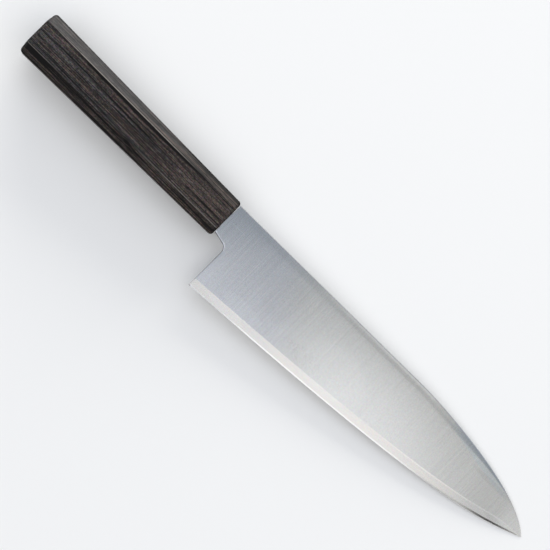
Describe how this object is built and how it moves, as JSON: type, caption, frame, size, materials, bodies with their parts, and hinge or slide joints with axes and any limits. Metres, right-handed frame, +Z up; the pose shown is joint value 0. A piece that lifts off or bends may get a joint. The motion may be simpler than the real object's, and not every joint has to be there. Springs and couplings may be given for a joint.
{
  "type": "gyuto knife",
  "caption": "Kitchen chef's knife with a deep satin steel blade, a sharp heel and pointed tip, on a tapered octagonal dark wood handle with a hidden tang.",
  "frame": {"origin": "bottom centre of the knife's bounding box as it lies on a table, resting on the handle's front end and on the tip", "axes": "+X along the handle towards the tip, +Y towards the spine, +Z up out of the right cheek; the handle axis dips about 2.2 degrees towards the tip, as it does on a table"},
  "size_m": [0.3528, 0.0496, 0.0236],
  "materials": {
    "blade_steel": "satin, brushed from spine to edge",
    "handle_wood": "oiled, nearly black with fine brown streaks",
    "dowel_wood": "bare softwood",
    "bedding_resin": "cured amber resin",
    "seal_resin": "dark filled resin, rubbed flush"
  },
  "bodies": {
    "root": {"blade": "blade_steel", "handle": "handle_wood", "tang_dowel": "dowel_wood", "tang_bedding": "bedding_resin", "mouth_seal": "seal_resin"}
  },
  "joints": []
}
